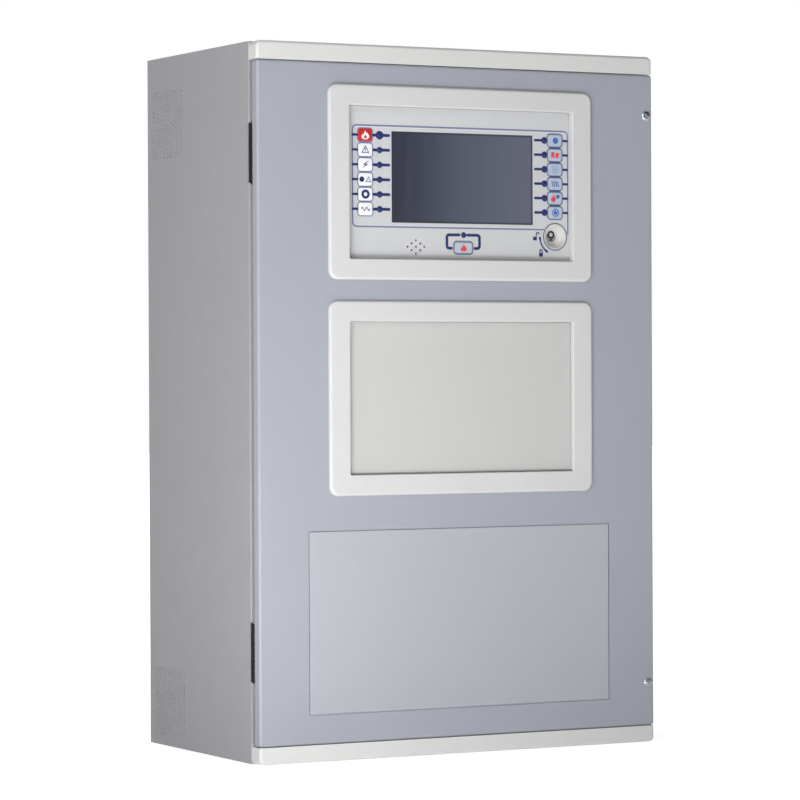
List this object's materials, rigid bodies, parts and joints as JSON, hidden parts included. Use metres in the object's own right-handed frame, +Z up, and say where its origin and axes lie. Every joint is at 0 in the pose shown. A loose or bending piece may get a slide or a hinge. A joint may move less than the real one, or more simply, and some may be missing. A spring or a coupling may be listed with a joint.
{
  "type": "fire alarm control panel",
  "caption": "Wall-mounted fire alarm control panel: steel cabinet, hinged door with display unit and lock, plug-in modules, power supply and stand-by batteries.",
  "frame": {"origin": "centre of the four wall-fixing holes, in the back face that lies on the wall", "axes": "+Z up, +X to the right for a person facing the door, +Y into the wall"},
  "size_m": [0.435, 0.2553, 0.68],
  "materials": {
    "cabinet_steel": "satin",
    "door_steel": "satin",
    "white_plastic": "matte",
    "hinge_black": "satin",
    "zinc_steel": "satin",
    "black_foam": "matte",
    "fascia_grey": "matte",
    "blank_white": "matte",
    "black_plastic": "matte",
    "screen_glass": "gloss",
    "panel_metal": "satin",
    "lens_white": "gloss",
    "button_grey": "satin",
    "board_green": "satin",
    "carrier_grey": "matte",
    "module_grey": "matte",
    "terminal_green": "satin",
    "battery_black": "satin",
    "lead_plate": "matte",
    "terminal_brass": "satin",
    "cable_black": "satin",
    "ribbon_grey": "satin",
    "earth_green": "satin"
  },
  "bodies": {
    "cabinet": {"back_panel": "cabinet_steel", "left_side_panel": "cabinet_steel", "right_side_panel": "cabinet_steel", "top_panel": "cabinet_steel", "bottom_panel": "cabinet_steel", "front_frame": "cabinet_steel", "top_trim": "white_plastic", "bottom_trim": "white_plastic", "hinge_cabinet_leaves": "hinge_black", "hinge_pins": "zinc_steel", "module_carrier": "carrier_grey", "bus_board": "board_green", "bus_sockets": "black_plastic", "power_module": "module_grey", "loop_module_1": "module_grey", "loop_module_2": "module_grey", "relay_module": "module_grey", "module_terminals": "terminal_green", "power_supply_case": "panel_metal", "mains_terminal_block": "carrier_grey", "battery_shelf": "cabinet_steel", "battery_left": "battery_black", "battery_right": "battery_black", "battery_plates": "lead_plate", "battery_terminals": "terminal_brass", "battery_bar": "cabinet_steel", "battery_leads": "cable_black", "power_leads": "cable_black", "cabinet_screws": "zinc_steel", "ribbon_cable": "ribbon_grey", "earth_strap": "earth_green"},
    "door": {"door_panel": "door_steel", "hinge_door_leaves": "hinge_black", "door_gasket": "black_foam", "display_bezel": "white_plastic", "blank_bezel": "white_plastic", "unit_clamps": "black_plastic", "display_fascia": "fascia_grey", "display_window": "screen_glass", "lcd_panel": "panel_metal", "indicator_lenses": "lens_white", "cpu_board": "board_green", "board_components": "black_plastic", "buzzer": "black_plastic", "key_well": "white_plastic", "key_switch_body": "black_plastic", "blank_plate": "blank_white", "cover_plate": "door_steel", "door_screws": "zinc_steel"},
    "key_lock": {"key_barrel": "zinc_steel"},
    "upper_fastener": {"door_fastener_upper": "zinc_steel"},
    "lower_fastener": {"door_fastener_lower": "zinc_steel"},
    "alarm_key": {"alarm_button": "button_grey"},
    "fuse_lever": {"fuse_carrier": "black_plastic"},
    "soft_key_1": {"soft_button_1": "button_grey"},
    "soft_key_2": {"soft_button_2": "button_grey"},
    "soft_key_3": {"soft_button_3": "button_grey"},
    "soft_key_4": {"soft_button_4": "button_grey"},
    "soft_key_5": {"soft_button_5": "button_grey"},
    "soft_key_6": {"soft_button_6": "button_grey"}
  },
  "joints": [
    {"name": "door_swing", "type": "hinge", "parent": "cabinet", "child": "door", "pos_m": [-0.2135, -0.2355, 0], "axis": [0, 0, -1], "range_deg": [0, 110], "deforming": ["ribbon_cable", "earth_strap"]},
    {"name": "key_turn", "type": "hinge", "parent": "door", "child": "key_lock", "pos_m": [0.1076, -0.24, 0.1602], "axis": [0, 1, 0], "range_deg": [0, 90]},
    {"name": "upper_fastener_turn", "type": "hinge", "parent": "door", "child": "upper_fastener", "pos_m": [0.2104, -0.252, 0.281], "axis": [0, 1, 0], "range_deg": [0, 90]},
    {"name": "lower_fastener_turn", "type": "hinge", "parent": "door", "child": "lower_fastener", "pos_m": [0.2104, -0.252, -0.281], "axis": [0, 1, 0], "range_deg": [0, 90]},
    {"name": "alarm_press", "type": "slide", "parent": "door", "child": "alarm_key", "axis": [0, 1, 0], "range_m": [0, 0.0008], "stiffness_N_per_m": 500, "springref_m": -0.0008},
    {"name": "fuse_lever_swing", "type": "hinge", "parent": "cabinet", "child": "fuse_lever", "pos_m": [0.0965, -0.029, -0.076], "axis": [1, 0, 0], "range_deg": [0, 60]},
    {"name": "soft_press_1", "type": "slide", "parent": "door", "child": "soft_key_1", "axis": [0, 1, 0], "range_m": [0, 0.0008], "stiffness_N_per_m": 500, "springref_m": -0.0008},
    {"name": "soft_press_2", "type": "slide", "parent": "door", "child": "soft_key_2", "axis": [0, 1, 0], "range_m": [0, 0.0008], "stiffness_N_per_m": 500, "springref_m": -0.0008},
    {"name": "soft_press_3", "type": "slide", "parent": "door", "child": "soft_key_3", "axis": [0, 1, 0], "range_m": [0, 0.0008], "stiffness_N_per_m": 500, "springref_m": -0.0008},
    {"name": "soft_press_4", "type": "slide", "parent": "door", "child": "soft_key_4", "axis": [0, 1, 0], "range_m": [0, 0.0008], "stiffness_N_per_m": 500, "springref_m": -0.0008},
    {"name": "soft_press_5", "type": "slide", "parent": "door", "child": "soft_key_5", "axis": [0, 1, 0], "range_m": [0, 0.0008], "stiffness_N_per_m": 500, "springref_m": -0.0008},
    {"name": "soft_press_6", "type": "slide", "parent": "door", "child": "soft_key_6", "axis": [0, 1, 0], "range_m": [0, 0.0008], "stiffness_N_per_m": 500, "springref_m": -0.0008}
  ]
}
